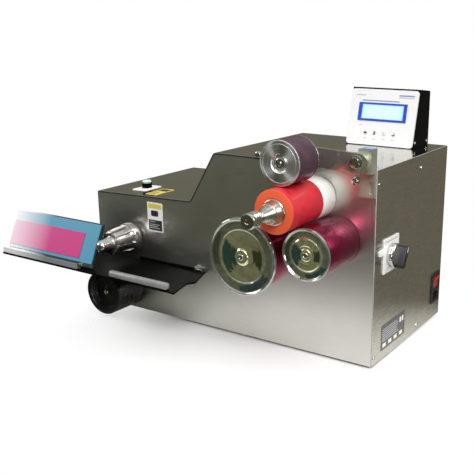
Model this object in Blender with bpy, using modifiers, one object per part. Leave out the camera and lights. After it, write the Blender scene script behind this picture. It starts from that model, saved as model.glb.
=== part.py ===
"""Bench-top hot foil stamper: a sheet-steel cabinet with a heated silicone roller, a pressure roller on a
swing arm, foil supply and take-up reels, a fluted mandrel, a guide roller, a feed rest and a control box.

Lengths in the tables below are millimetres, measured from the cabinet's front left corner at floor level:
X runs along the front, Y runs from the front face to the back, Z is up.
"""
import bmesh
import bpy
from math import atan2, cos, hypot, pi, radians, sin
from mathutils import Matrix, Vector

MM = 0.001
ORIGIN = (215.5, 43.0, 0.0)     # model origin: middle of the whole object's footprint, on the floor
GAP = 0.3                       # space left between touching pieces

# Cabinet
WIDTH = 547.0
DEPTH = 266.0
HEIGHT = 300.0
SKIRT = 4.0                     # height of the panels' lower edges
FRONT_T = 2.5
SHEET = 1.5
DECK_LEFT = (0.0, 208.7)        # profile points, X and Z
DECK_RIGHT = (211.6, 215.0)
TOP_LEFT = (262.7, 300.0)
BODY_Y0 = FRONT_T + GAP
BODY_Y1 = DEPTH - SHEET - GAP
PAN_Z = 12.0

# Shafts: X and Z of each axis, all parallel to Y
MANDREL = (85.0, 138.0)
GUIDE = (64.0, 46.5)
TAKEUP = (382.0, 172.4)
SUPPLY = (488.0, 192.2)
HEAT = (452.8, 253.0)
PRESS = (453.0, 316.6)
ARM_PIVOT = (527.0, 313.5)
SHAFT_R = 6.0
BORE_R = 6.3
PLATE_Y = 60.0                  # inner bearing plate

# Rollers and reels
HEAT_R = 31.3
HEAT_CORE_R = 18.7
PRESS_R = 31.6
TAKEUP_R = 57.8
TAKEUP_FOIL_R = 54.0
SUPPLY_R = 37.8
SUPPLY_FOIL_R = 36.5
GUIDE_R = 38.2

# Control box: the fascia leans back from BOX_FOOT along BOX_SLOPE (Y, Z)
BOX_X = (393.5, 513.0)
BOX_FOOT = (195.0, 300.0)
BOX_SLOPE = (22.5, 91.0)
FASCIA_TOP = 93.4
CASE_TOP = 96.4
LCD_X = (410.0, 496.5)
LCD_S = (41.0, 71.0)
KEYS_X = (427.4, 443.9, 460.9, 478.2)
KEYS_S = 21.0
KEY_R = 3.3

# Feed rest: a plate leaning back from REST_FOOT along REST_SLOPE (Y, Z)
REST_X = (-140.0, 69.0)
REST_FOOT = (-91.5, 106.5)
REST_SLOPE = (29.5, 61.9)
SHELF_Z = (95.0, 98.0)

# Push button, dial and power inlet
BUTTON_X = 66.5
BUTTON_Y = 56.5
DIAL_YZ = (53.6, 166.8)
INLET_Y = (225.5, 260.5)
INLET_Z = (31.5, 85.0)
ROCKER_Z = 68.5
ROCKER_TILT = 9.0


def world(x, y, z):
    """A point of the tables above, as a position in the model in metres."""
    return Vector((x - ORIGIN[0], y - ORIGIN[1], z - ORIGIN[2])) * MM


# ------------------------------------------------------------------ scene and materials

def clear_scene():
    for obj in list(bpy.data.objects):
        bpy.data.objects.remove(obj, do_unlink=True)
    for block in (bpy.data.meshes, bpy.data.curves, bpy.data.materials, bpy.data.collections):
        for item in list(block):
            block.remove(item)


def new_collection(name):
    collection = bpy.data.collections.new(name)
    bpy.context.scene.collection.children.link(collection)
    return collection


clear_scene()
PARTS = new_collection("hot_foil_stamper")
CUTTERS = new_collection("cutters")
CUTTERS.hide_render = True

FINISHES = {
    # name: colour, metallic, roughness
    "stainless": ((0.50, 0.50, 0.46), 1.0, 0.22),
    "polished_steel": ((0.72, 0.71, 0.68), 1.0, 0.12),
    "aluminium": ((0.80, 0.80, 0.79), 1.0, 0.25),
    "silicone_red": ((0.72, 0.04, 0.05), 0.0, 0.45),
    "spacer_white": ((0.87, 0.86, 0.83), 0.0, 0.40),
    "press_plum": ((0.20, 0.13, 0.16), 0.0, 0.30),
    "foil_magenta": ((0.55, 0.03, 0.16), 0.8, 0.22),
    "satin_black": ((0.02, 0.02, 0.022), 0.0, 0.38),
    "rubber_black": ((0.03, 0.03, 0.03), 0.0, 0.80),
    "motor_grey": ((0.30, 0.31, 0.32), 0.6, 0.45),
    "panel_white": ((0.88, 0.88, 0.88), 0.0, 0.40),
    "lcd_blue": ((0.08, 0.12, 0.60), 0.0, 0.35),
    "lcd_glass": ((0.70, 0.95, 0.98), 0.0, 0.15),
    "key_dark": ((0.10, 0.10, 0.12), 0.0, 0.50),
    "key_pale": ((0.62, 0.63, 0.65), 0.0, 0.50),
    "lamp_mint": ((0.80, 0.95, 0.88), 0.0, 0.25),
    "mat_blue": ((0.08, 0.42, 0.58), 0.0, 0.55),
    "sheet_pink": ((0.80, 0.07, 0.25), 0.0, 0.50),
    "rocker_red": ((0.60, 0.03, 0.03), 0.0, 0.25),
}


def material(name):
    found = bpy.data.materials.get(name)
    if found:
        return found
    colour, metallic, roughness = FINISHES[name]
    made = bpy.data.materials.new(name)
    made.use_nodes = True
    shader = made.node_tree.nodes["Principled BSDF"]
    shader.inputs["Base Color"].default_value = (*colour, 1.0)
    shader.inputs["Metallic"].default_value = metallic
    shader.inputs["Roughness"].default_value = roughness
    return made


# ------------------------------------------------------------------ shape helpers

def add(name, mesh, finish, collection=None):
    obj = bpy.data.objects.new(name, mesh)
    (collection or PARTS).objects.link(obj)
    if finish:
        mesh.materials.clear()
        mesh.materials.append(material(finish))
    if collection is CUTTERS:
        obj.hide_render = True
        obj.display_type = "WIRE"
    return obj


def bevel(obj, width, segments=2, angle=40.0):
    modifier = obj.modifiers.new("Bevel", "BEVEL")
    modifier.width = width * MM
    modifier.segments = segments
    modifier.limit_method = "ANGLE"
    modifier.angle_limit = radians(angle)
    modifier.harden_normals = False
    return obj


def cut(obj, *cutters):
    """Take each cutter out of obj."""
    for cutter in cutters:
        modifier = obj.modifiers.new("Cut", "BOOLEAN")
        modifier.operation = "DIFFERENCE"
        modifier.solver = "EXACT"
        modifier.object = cutter
    return obj


def box_mesh(name, size):
    mesh = bpy.data.meshes.new(name)
    bm = bmesh.new()
    bmesh.ops.create_cube(bm, size=1.0)
    bmesh.ops.scale(bm, vec=Vector(size) * MM, verts=bm.verts)
    bm.to_mesh(mesh)
    bm.free()
    return mesh


def box(name, low, high, finish, edge=0.0, collection=None):
    """A block between two corners given in millimetres."""
    size = [b - a for a, b in zip(low, high)]
    obj = add(name, box_mesh(name, size), finish, collection)
    obj.location = world(*[(a + b) / 2 for a, b in zip(low, high)])
    if edge:
        bevel(obj, edge)
    return obj


def lathe(name, profile, origin, finish, steps=32, turn=(pi / 2, 0.0, 0.0), collection=None):
    """A turned piece: (radius, height) points run down the outer side. Height runs forward, towards -Y."""
    mesh = bpy.data.meshes.new(name)
    bm = bmesh.new()
    verts = [bm.verts.new((r * MM, 0.0, h * MM)) for r, h in profile]
    pairs = list(zip(verts, verts[1:]))
    if profile[0][0] > 0.0 or profile[-1][0] > 0.0:
        pairs.append((verts[-1], verts[0]))
    for first, second in pairs:
        bm.edges.new((first, second))
    bm.to_mesh(mesh)
    bm.free()
    obj = add(name, mesh, finish, collection)
    obj.location = world(*origin)
    obj.rotation_euler = turn
    screw = obj.modifiers.new("Turn", "SCREW")
    screw.axis = "Z"
    screw.angle = 2 * pi
    screw.steps = steps
    screw.render_steps = steps
    screw.use_merge_vertices = True
    screw.merge_threshold = 0.00001
    screw.use_smooth_shade = True
    return obj


def flat_mesh(name, loops, thickness):
    """A flat plate in local XY, centred on Z = 0. The first loop is the outline and the rest are holes."""
    curve = bpy.data.curves.new(name + "_outline", "CURVE")
    curve.dimensions = "2D"
    curve.fill_mode = "BOTH"
    curve.extrude = thickness / 2 * MM
    for loop in loops:
        spline = curve.splines.new("POLY")
        spline.points.add(len(loop) - 1)
        for point, (u, v) in zip(spline.points, loop):
            point.co = (u * MM, v * MM, 0.0, 1.0)
        spline.use_cyclic_u = True
    holder = bpy.data.objects.new(name + "_outline", curve)
    bpy.context.scene.collection.objects.link(holder)
    graph = bpy.context.evaluated_depsgraph_get()
    mesh = bpy.data.meshes.new_from_object(holder.evaluated_get(graph))
    mesh.name = name
    bm = bmesh.new()
    bm.from_mesh(mesh)
    bmesh.ops.remove_doubles(bm, verts=bm.verts, dist=0.000005)
    bmesh.ops.dissolve_degenerate(bm, edges=bm.edges, dist=0.000002)
    bmesh.ops.recalc_face_normals(bm, faces=bm.faces)
    bm.to_mesh(mesh)
    bm.free()
    bpy.data.objects.remove(holder, do_unlink=True)
    bpy.data.curves.remove(curve)
    return mesh


def plate_xz(name, loops, y0, y1, finish, origin=(0.0, 0.0), collection=None):
    """A plate facing the front: loops of (X, Z) points, from y0 to y1. Its origin sits at (X, Z) = origin."""
    shifted = [[(x - origin[0], z - origin[1]) for x, z in loop] for loop in loops]
    obj = add(name, flat_mesh(name, shifted, y1 - y0), finish, collection)
    obj.rotation_euler = (pi / 2, 0.0, 0.0)
    obj.location = world(origin[0], (y0 + y1) / 2, origin[1])
    return obj


def plate_xy(name, loops, z0, z1, finish, collection=None):
    """A level plate: loops of (X, Y) points, from z0 to z1."""
    obj = add(name, flat_mesh(name, loops, z1 - z0), finish, collection)
    obj.location = world(0.0, 0.0, (z0 + z1) / 2)
    return obj


def plate_yz(name, loops, x0, x1, finish, origin=(0.0, 0.0), collection=None):
    """A piece of constant side profile: loops of (Y, Z) points, from x0 to x1."""
    shifted = [[(y - origin[0], z - origin[1]) for y, z in loop] for loop in loops]
    obj = add(name, flat_mesh(name, shifted, x1 - x0), finish, collection)
    obj.matrix_world = (Matrix.Translation(world((x0 + x1) / 2, origin[0], origin[1]))
                        @ Matrix(((0, 0, 1, 0), (1, 0, 0, 0), (0, 1, 0, 0), (0, 0, 0, 1))))
    return obj


def circle(x, z, radius, count=32):
    return [(x + radius * cos(2 * pi * i / count), z + radius * sin(2 * pi * i / count)) for i in range(count)]


def rounded(points, radii, steps=4):
    """A closed outline with each corner rounded by its own radius."""
    outline = []
    total = len(points)
    for i, (point, radius) in enumerate(zip(points, radii)):
        corner = Vector(point)
        before = (Vector(points[i - 1]) - corner).normalized()
        after = (Vector(points[(i + 1) % total]) - corner).normalized()
        if radius <= 0.0:
            outline.append(tuple(corner))
            continue
        half = before.angle(after) / 2
        middle = corner + (before + after).normalized() * (radius / sin(half))
        reach = radius / abs(sin(half) / cos(half))
        start = corner + before * reach - middle
        end = corner + after * reach - middle
        first = atan2(start.y, start.x)
        sweep = (atan2(end.y, end.x) - first + pi) % (2 * pi) - pi
        for step in range(steps + 1):
            angle = first + sweep * step / steps
            outline.append((middle.x + radius * cos(angle), middle.y + radius * sin(angle)))
    return outline


def rectangle(x0, z0, x1, z1, radius=0.0, steps=3):
    corners = [(x0, z0), (x1, z0), (x1, z1), (x0, z1)]
    return rounded(corners, [radius] * 4, steps) if radius else corners


def slope_frame(foot, slope):
    """Unit vectors (Y, Z) up a leaning plane and out of its front, and its lean angle about X."""
    length = hypot(*slope)
    up = (slope[0] / length, slope[1] / length)
    out = (-up[1], up[0])
    return up, out, -atan2(slope[0], slope[1])


def on_slope(foot, slope, along, proud):
    """(Y, Z) of a point on a leaning plane, `along` up it and `proud` of its front."""
    up, out, _ = slope_frame(foot, slope)
    return (foot[0] + up[0] * along + out[0] * proud, foot[1] + up[1] * along + out[1] * proud)


def leaning_plate(name, loops, foot, slope, proud0, proud1, finish):
    """A plate lying on a leaning plane: loops of (X, distance up the slope)."""
    middle_x = sum(x for x, _ in loops[0]) / len(loops[0])
    middle_s = sum(s for _, s in loops[0]) / len(loops[0])
    shifted = [[(x - middle_x, s - middle_s) for x, s in loop] for loop in loops]
    obj = add(name, flat_mesh(name, shifted, proud1 - proud0), finish)
    _, _, lean = slope_frame(foot, slope)
    obj.rotation_euler = (pi / 2 + lean, 0.0, 0.0)
    y, z = on_slope(foot, slope, middle_s, (proud0 + proud1) / 2)
    obj.location = world(middle_x, y, z)
    return obj


# ------------------------------------------------------------------ cabinet

def inner_corner(before, corner, after, depth):
    """The point `depth` inside a bend of the sheet, on its mitre line. The inside is on the right."""
    first = (Vector(corner) - Vector(before)).normalized()
    second = (Vector(after) - Vector(corner)).normalized()
    normal_a = Vector((first.y, -first.x))
    normal_b = Vector((second.y, -second.x))
    mitre = (normal_a + normal_b).normalized()
    return Vector(corner) + mitre * (depth / mitre.dot(normal_a))


def build_covers():
    """The left panel, deck, slant and top, as flat sheets that meet on mitred seams."""
    line = [(0.0, SKIRT), DECK_LEFT, DECK_RIGHT, TOP_LEFT, (WIDTH, HEIGHT)]
    inner = [Vector((SHEET, SKIRT))]
    for i in (1, 2, 3):
        inner.append(inner_corner(line[i - 1], line[i], line[i + 1], SHEET))
    inner.append(Vector((WIDTH, HEIGHT - SHEET)))
    names = ("left_panel", "deck_cover", "slant_cover", "top_cover")
    for i, name in enumerate(names):
        start = Vector(line[i])
        end = Vector(line[i + 1])
        along = (end - start).normalized() * (GAP / 2)
        shift_a = along if i else Vector((0.0, 0.0))
        shift_b = along if i < 3 else Vector((0.0, 0.0))
        loop = [start + shift_a, end - shift_b, inner[i + 1] - shift_b, inner[i] + shift_a]
        plate_xz(name, [[tuple(p) for p in loop]], BODY_Y0, BODY_Y1, "stainless")


def build_front_panel():
    outline = rounded([(0.0, SKIRT), (WIDTH, SKIRT), (WIDTH, HEIGHT), TOP_LEFT, DECK_RIGHT, DECK_LEFT],
                      [1.0, 1.0, 2.0, 8.0, 8.0, 3.0])
    holes = [circle(x, z, 9.0, 20) for x, z in (MANDREL, GUIDE, TAKEUP, SUPPLY, HEAT)]
    plate_xz("front_panel", [outline] + holes, 0.0, FRONT_T, "stainless")


def build_rear_panel():
    outline = rounded([(0.0, SKIRT), (WIDTH, SKIRT), (WIDTH, HEIGHT), TOP_LEFT, DECK_RIGHT, DECK_LEFT],
                      [1.0, 1.0, 2.0, 8.0, 8.0, 3.0])
    slots = []
    for row in range(5):
        for x in (320.0, 390.0, 460.0):
            low = 190.0 + row * 14.0
            slots.append(rectangle(x, low, x + 50.0, low + 5.0, 2.4, 2))
    plate_xz("rear_panel", [outline] + slots, DEPTH - SHEET, DEPTH, "stainless")


def build_right_panel():
    top = HEIGHT - SHEET - GAP
    outline = rectangle(BODY_Y0, SKIRT, BODY_Y1, top, 1.0)
    inlet = rectangle(INLET_Y[0] + 4.0, INLET_Z[0] + 2.5, INLET_Y[1] - 4.0, INLET_Z[1] - 2.5, 1.0)
    dial = circle(DIAL_YZ[0], DIAL_YZ[1], 5.0, 16)
    plate_yz("right_panel", [outline, inlet, dial], WIDTH - SHEET, WIDTH, "stainless")


def build_base():
    outline = rectangle(SHEET + 0.6, BODY_Y0 + 0.3, WIDTH - SHEET - 0.6, BODY_Y1 - 0.3, 2.0)
    slots = []
    for row in range(4):
        low = 90.0 + row * 20.0
        slots.append(rectangle(240.0, low, 300.0, low + 6.0, 2.9, 2))
    plate_xy("base_pan", [outline] + slots, PAN_Z, PAN_Z + SHEET, "stainless")
    foot = [(0.0, PAN_Z - GAP), (8.0, PAN_Z - GAP), (9.5, 1.2), (8.4, 0.0), (0.0, 0.0)]
    places = {"fl": (30.0, 30.0), "fr": (517.0, 30.0), "bl": (30.0, 236.0), "br": (517.0, 236.0)}
    for key, (x, y) in places.items():
        lathe("foot_" + key, foot, (x, y, 0.0), "rubber_black", 16, (0.0, 0.0, 0.0))


def build_bearing_plate():
    """The inner plate that carries the shafts' back ends."""
    outline = rounded([(12.0, 14.0), (533.0, 14.0), (533.0, 285.0), (272.0, 285.0), (222.0, 202.0), (12.0, 196.0)],
                      [3.0, 3.0, 6.0, 6.0, 6.0, 6.0], 2)
    holes = [circle(x, z, BORE_R + 0.1, 20) for x, z in (MANDREL, GUIDE, TAKEUP, SUPPLY, HEAT)]
    plate_xz("bearing_plate", [outline] + holes, PLATE_Y, PLATE_Y + 3.0, "motor_grey")


def build_bearings():
    """Flanged bearings behind the front panel, each with a boss that fills the panel's hole."""
    profile = [(BORE_R, -GAP), (8.7, -GAP), (8.7, -BODY_Y0), (17.0, -BODY_Y0), (17.0, -6.8), (12.0, -6.8),
               (12.0, -16.0), (BORE_R, -16.0)]
    names = {"mandrel": MANDREL, "guide": GUIDE, "takeup": TAKEUP, "supply": SUPPLY, "heat": HEAT}
    for key, (x, z) in names.items():
        lathe("bearing_" + key, profile, (x, 0.0, z), "polished_steel", 16)


def build_motor():
    """Gear motor on the inner plate, straight behind the heated roller, with a bore for that roller's shaft."""
    x, z = HEAT
    front = PLATE_Y + 3.0 + GAP
    profile = [(BORE_R + 0.1, -front), (33.0, -front), (34.0, -front - 1.0), (34.0, -104.0), (24.0, -105.0),
               (24.0, -164.0), (22.0, -166.0), (0.0, -166.0), (0.0, -96.0), (BORE_R + 0.1, -96.0)]
    lathe("drive_motor", profile, (x, 0.0, z), "motor_grey", 20)


def build_cabinet():
    build_covers()
    build_front_panel()
    build_rear_panel()
    build_right_panel()
    build_base()
    build_bearing_plate()
    build_bearings()
    build_motor()


# ------------------------------------------------------------------ rollers and reels

def shaft(name, axis, front, stud_r, step, head, finish="polished_steel", back=-72.0):
    """A stepped shaft: a screw head, a stud through the hub and a journal that runs to the inner plate."""
    x, z = axis
    head_r, head_h = head
    profile = [(0.0, front + head_h), (head_r - 0.8, front + head_h), (head_r, front + head_h - 0.8),
               (head_r, front), (stud_r, front), (stud_r, step), (SHAFT_R, step), (SHAFT_R, back + 1.0),
               (SHAFT_R - 1.0, back), (0.0, back)]
    return lathe(name, profile, (x, 0.0, z), finish, 16)


def reel(prefix, axis, flange, foil_r, foil_front, front, step):
    """A foil reel: a turned flange, the foil roll behind it and the shaft with its end screw."""
    x, z = axis
    lathe(prefix + "_flange", flange, (x, 0.0, z), "polished_steel", 36)
    foil = [(BORE_R, foil_front), (foil_r - 0.4, foil_front), (foil_r, foil_front - 0.4), (foil_r, 4.4),
            (foil_r - 0.4, 4.0), (BORE_R, 4.0)]
    lathe(prefix + "_foil", foil, (x, 0.0, z), "foil_magenta", 32)
    shaft(prefix + "_shaft", axis, front + GAP, 3.2, step, (4.4, 2.2))


def build_reels():
    takeup = [(3.5, 96.0), (10.5, 96.0), (11.3, 95.2), (12.2, 93.6), (39.0, 92.2), (40.5, 93.8), (53.0, 93.6),
              (54.6, 95.4), (56.4, 96.0), (TAKEUP_R, 94.8), (TAKEUP_R, 91.0), (56.4, 89.6), (3.5, 88.3)]
    reel("takeup", TAKEUP, takeup, TAKEUP_FOIL_R, 87.9, 96.0, 88.0)
    supply = [(3.5, 94.0), (7.6, 94.0), (8.4, 93.2), (9.2, 92.0), (12.6, 91.8), (13.4, 92.6), (22.6, 92.4),
              (24.2, 90.8), (34.2, 91.2), (35.2, 93.2), (36.6, 94.0), (SUPPLY_R, 93.0), (SUPPLY_R, 89.6),
              (36.8, 88.4), (3.5, 86.3)]
    reel("supply", SUPPLY, supply, SUPPLY_FOIL_R, 85.9, 94.0, 86.0)


def build_heated_roller():
    x, z = HEAT
    origin = (x, 0.0, z)
    core = [(0.0, 170.0), (4.2, 170.0), (5.0, 169.2), (5.0, 156.0), (6.4, 151.0), (16.6, 120.4), (17.6, 119.4),
            (HEAT_CORE_R, 118.6), (HEAT_CORE_R, 37.0), (SHAFT_R, 37.0), (SHAFT_R, -94.0), (5.0, -95.0), (0.0, -95.0)]
    lathe("heat_core", core, origin, "polished_steel", 24)
    inner = HEAT_CORE_R + GAP
    sleeve = [(inner, 118.0), (HEAT_R - 0.8, 118.0), (HEAT_R, 117.2), (HEAT_R, 38.1), (HEAT_R - 0.8, 37.3),
              (inner, 37.3)]
    lathe("heat_sleeve", sleeve, origin, "silicone_red", 36)
    collar = [(BORE_R, 36.7), (30.0, 36.7), (30.8, 35.9), (30.8, 4.0), (30.0, 3.2), (BORE_R, 3.2)]
    lathe("heat_collar", collar, origin, "spacer_white", 32)
    knob = [(0.0, 180.0), (8.6, 180.0), (10.4, 178.4), (11.0, 177.0), (11.0, 161.0), (10.0, 159.4), (8.4, 158.0),
            (5.3, 158.0), (5.3, 170.4), (0.0, 170.4)]
    lathe("heat_knob", knob, origin, "polished_steel", 24)


def build_pressure_roller():
    """The pressure roller on its spindle, and the swing arm, block and bolt that carry it."""
    x, z = PRESS
    origin = (x, 0.0, z)
    cap = [(5.3, 99.5), (12.4, 99.5), (12.4, 103.2), (13.2, 104.0), (PRESS_R - 0.9, 104.0), (PRESS_R, 103.1),
           (PRESS_R, 101.9), (16.0, 101.9), (16.0, 97.0), (5.3, 97.0)]
    lathe("press_cap", cap, origin, "aluminium", 36)
    body = [(5.3, 96.7), (16.3, 96.7), (16.3, 101.6), (30.6, 101.6), (31.0, 101.2), (31.0, 54.0), (PRESS_R, 53.6),
            (PRESS_R, 52.4), (31.2, 52.0), (5.3, 52.0)]
    lathe("press_body", body, origin, "press_plum", 36)
    spindle = [(0.0, 103.4), (6.2, 103.4), (7.4, 102.4), (7.4, 99.8), (5.0, 99.8), (5.0, 51.0), (8.0, 51.0),
               (8.0, 26.3), (5.0, 26.3), (5.0, 14.6), (4.2, 13.8), (0.0, 13.8)]
    lathe("press_spindle", spindle, origin, "polished_steel", 16)

    left = (PRESS[0], PRESS[1] - 1.6)
    right = (ARM_PIVOT[0] + 4.0, ARM_PIVOT[1] - 1.5)
    tilt = atan2(right[1] - left[1], right[0] - left[0])
    outline = []
    for (cx, cz), start in ((right, -pi / 2), (left, pi / 2)):
        for step in range(9):
            angle = tilt + start + pi * step / 8
            outline.append((cx + 13.8 * cos(angle), cz + 13.8 * sin(angle)))
    holes = [circle(*PRESS, 5.3, 16), circle(*ARM_PIVOT, 5.3, 16)]
    plate_xz("press_arm", [outline] + holes, -26.0, -18.0, "stainless", ARM_PIVOT)

    side = [(-17.7, 331.0), (-17.7, 297.0), (-6.0, 297.0), (-6.0, 261.5), (-GAP, 261.5), (-GAP, 331.0)]
    block = plate_yz("pivot_block", [side], 517.0, 546.2, "stainless")
    hole = lathe("pivot_bore_cutter", [(0.0, 20.0), (4.3, 20.0), (4.3, 5.0), (0.0, 5.0)],
                 (ARM_PIVOT[0], 0.0, ARM_PIVOT[1]), None, 16, collection=CUTTERS)
    slot = plate_xz("pivot_slot_cutter", [rectangle(538.0, 266.0, 543.2, 284.0, 2.5)], -8.0, -4.0, None,
                    collection=CUTTERS)
    corner = box("pivot_corner_cutter", (516.0, -18.5, 323.0), (525.8, 0.5, 332.0), None, collection=CUTTERS)
    foot = box("pivot_foot_cutter", (516.0, -7.0, 260.5), (522.6, 0.5, 297.0), None, collection=CUTTERS)
    cut(block, hole, slot, corner, foot)

    bolt = [(0.0, 32.6), (6.8, 32.6), (8.0, 31.4), (8.0, 26.3), (5.0, 26.3), (5.0, 18.0), (4.0, 18.0),
            (4.0, 6.0), (0.0, 6.0)]
    lathe("pivot_bolt", bolt, (ARM_PIVOT[0], 0.0, ARM_PIVOT[1]), "polished_steel", 16)


def build_mandrel():
    """Fluted mandrel: a base ring, a tapered body with slots and a round-nosed pilot."""
    x, z = MANDREL
    origin = (x, 0.0, z)
    cone = [(0.0, 88.5), (3.6, 88.1), (6.8, 86.6), (9.2, 84.0), (10.4, 80.5), (12.0, 61.0), (18.4, 61.0),
            (19.4, 60.0), (23.6, 23.0), (25.0, 23.0), (25.8, 22.2), (25.8, 10.4), (25.0, 9.6), (17.0, 9.6),
            (17.0, 3.4), (BORE_R, 3.4), (BORE_R, 26.0), (0.0, 26.0)]
    mandrel = lathe("mandrel_cone", cone, origin, "polished_steel", 24)
    mesh = bpy.data.meshes.new("mandrel_slot_cutters")
    bm = bmesh.new()
    for step in range(8):
        angle = 2 * pi * (step + 0.5) / 8
        place = (Matrix.Rotation(angle, 4, "Z") @ Matrix.Translation((0.0248, 0.0, 0.0433))
                 @ Matrix.Diagonal((0.014, 0.0036, 0.0386, 1.0)))
        bmesh.ops.create_cube(bm, size=1.0, matrix=place)
    bm.to_mesh(mesh)
    bm.free()
    cutter = add("mandrel_slot_cutters", mesh, None, CUTTERS)
    cutter.location = world(*origin)
    cutter.rotation_euler = (pi / 2, 0.0, 0.0)
    cut(mandrel, cutter)
    lathe("mandrel_shaft", [(0.0, 25.6), (5.2, 25.6), (SHAFT_R, 24.8), (SHAFT_R, -71.0), (5.0, -72.0), (0.0, -72.0)],
          origin, "polished_steel", 16)


def build_guide_roller():
    x, z = GUIDE
    roller = [(3.5, 56.0), (8.0, 56.0), (8.0, 53.0), (27.0, 53.0), (29.5, 64.0), (37.0, 64.0), (GUIDE_R, 62.8),
              (GUIDE_R, 5.0), (37.2, 4.0), (BORE_R, 4.0), (BORE_R, 44.7), (3.5, 44.7)]
    lathe("guide_roller", roller, (x, 0.0, z), "satin_black", 36)
    shaft("guide_shaft", GUIDE, 56.3, 3.2, 44.4, (4.6, 2.4))


# ------------------------------------------------------------------ shelf and feed rest

def build_shelf():
    """The black shelf under the mandrel; its left part carries the feed rest and stops short of the cabinet."""
    corners = [(-142.0, -105.0), (140.0, -105.0), (252.0, -105.0), (262.0, -107.5), (255.0, -84.0), (249.0, -60.0),
               (257.0, -48.0), (239.0, -3.2), (239.0, -GAP), (4.0, -GAP), (4.0, -56.0), (-142.0, -56.0)]
    radii = [1.5, 0.0, 3.0, 2.0, 3.0, 4.0, 4.0, 1.0, 0.0, 4.0, 6.0, 1.5]
    plate_xy("shelf", [rounded(corners, radii, 3)], SHELF_Z[0], SHELF_Z[1], "satin_black")
    bar = box("shelf_bar", (122.5, -106.5, 98.3), (247.0, -96.3, 109.2), "aluminium")
    bevel(bar, 3.8, 3)


def build_feed_rest():
    x0, x1 = REST_X
    leaning_plate("feed_back", [rectangle(x0 - 1.0, -6.0, x1 + 2.5, 70.6)], REST_FOOT, REST_SLOPE, -6.3, -2.3,
                  "satin_black")
    leaning_plate("feed_plate", [rectangle(x0, 0.2, x1, 68.3, 1.5)], REST_FOOT, REST_SLOPE, -2.0, 0.0, "mat_blue")
    leaning_plate("feed_sheet", [rectangle(x0 + 0.5, 5.7, 38.0, 50.0)], REST_FOOT, REST_SLOPE, 0.3, 1.1,
                  "sheet_pink")
    ledge = [(-103.8, 98.3), (-95.4, 98.3), (-95.4, 99.9), (-102.0, 99.9), (-102.0, 107.0), (-103.8, 107.0)]
    plate_yz("feed_ledge", [ledge], x0, 47.0, "aluminium")
    clip = box("feed_clip", (49.6, -103.8, 98.3), (56.4, -96.0, 108.4), "polished_steel")
    bevel(clip, 1.2)


# ------------------------------------------------------------------ controls

def build_control_box():
    y0, z0 = on_slope(BOX_FOOT, BOX_SLOPE, 1.4, -3.0 - GAP)
    y1, z1 = on_slope(BOX_FOOT, BOX_SLOPE, CASE_TOP, -3.0 - GAP)
    floor = HEIGHT + GAP
    side = rounded([(y0, floor), (262.0, floor), (262.0, 388.4), (y1, z1)], [0.0, 1.0, 4.0, 0.0])
    plate_yz("control_box", [side], BOX_X[0] - 0.6, BOX_X[1] + 0.6, "satin_black")

    holes = [circle(x, KEYS_S, KEY_R + 0.3, 14) for x in KEYS_X]
    outline = rectangle(BOX_X[0], 1.2, BOX_X[1], FASCIA_TOP, 5.0, 4)
    leaning_plate("control_fascia", [outline] + holes, BOX_FOOT, BOX_SLOPE, -3.0, 0.0, "panel_white")

    window = rectangle(LCD_X[0] + 6.0, LCD_S[0] + 3.0, LCD_X[1] - 5.5, LCD_S[1] - 2.7)
    frame = rectangle(LCD_X[0], LCD_S[0], LCD_X[1], LCD_S[1])
    leaning_plate("lcd_frame", [frame, window], BOX_FOOT, BOX_SLOPE, GAP, 1.5, "lcd_blue")
    glass = rectangle(LCD_X[0] + 6.3, LCD_S[0] + 3.3, LCD_X[1] - 5.8, LCD_S[1] - 3.0)
    leaning_plate("lcd_window", [glass], BOX_FOOT, BOX_SLOPE, GAP, 1.0, "lcd_glass")

    _, _, lean = slope_frame(BOX_FOOT, BOX_SLOPE)
    for number, x in enumerate(KEYS_X, start=1):
        y, z = on_slope(BOX_FOOT, BOX_SLOPE, KEYS_S, 0.0)
        profile = [(0.0, 1.0), (2.7, 1.0), (KEY_R, 0.5), (KEY_R, -2.0), (0.0, -2.0)]
        finish = "key_dark" if number < 3 else "key_pale"
        lathe("key_%d" % number, profile, (x, y, z), finish, 14, (pi / 2 + lean, 0.0, 0.0))


def build_button():
    """A lit push button that stands square to the slightly sloping deck."""
    rise = atan2(DECK_RIGHT[1] - DECK_LEFT[1], DECK_RIGHT[0] - DECK_LEFT[0])
    z = DECK_LEFT[1] + BUTTON_X * sin(rise) / cos(rise)
    turn = (0.0, -rise, 0.0)
    collar = [(7.3, 9.4), (8.4, 9.4), (9.0, 8.8), (9.0, 1.2), (7.3, 1.2)]
    lathe("button_collar", collar, (BUTTON_X, BUTTON_Y, z), "satin_black", 20, turn)
    cap = [(0.0, 15.0), (5.6, 14.7), (7.6, 13.6), (8.4, 12.4), (8.4, 11.6), (7.0, 11.6), (7.0, 3.4), (0.0, 3.4)]
    lathe("button_cap", cap, (BUTTON_X, BUTTON_Y, z), "lamp_mint", 20, turn)


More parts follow.
